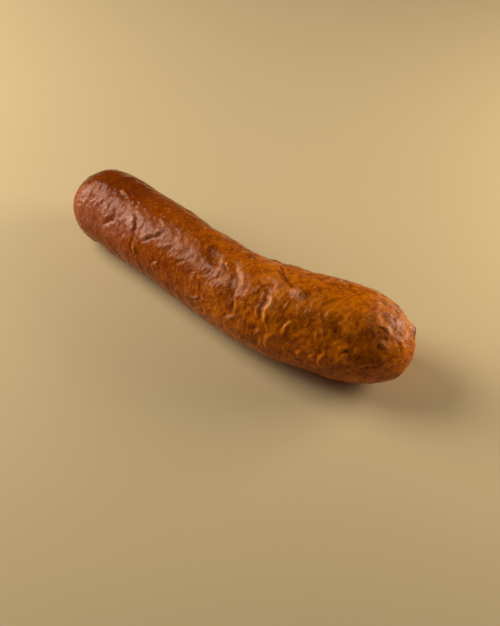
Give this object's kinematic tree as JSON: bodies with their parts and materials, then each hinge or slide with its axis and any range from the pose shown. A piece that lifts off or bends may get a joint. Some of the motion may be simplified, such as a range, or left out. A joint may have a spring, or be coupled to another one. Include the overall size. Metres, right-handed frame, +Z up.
{
  "type": "smoked sausage",
  "caption": "Thick smoked sausage link lying on its side, gently bent past its middle, with round ends and a wrinkled, folded casing.",
  "frame": {"origin": "bottom centre of the sausage's bounding box, on the surface that it lies on", "axes": "+Z up; X along the sausage, from its slim end at -X to its thick end at +X; +Y on the inner side of its bend"},
  "size_m": [0.2004, 0.0538, 0.0451],
  "materials": {
    "casing": "smoked natural casing, semi-gloss, mottled orange-brown"
  },
  "bodies": {
    "root": {"sausage": "casing"}
  },
  "joints": []
}
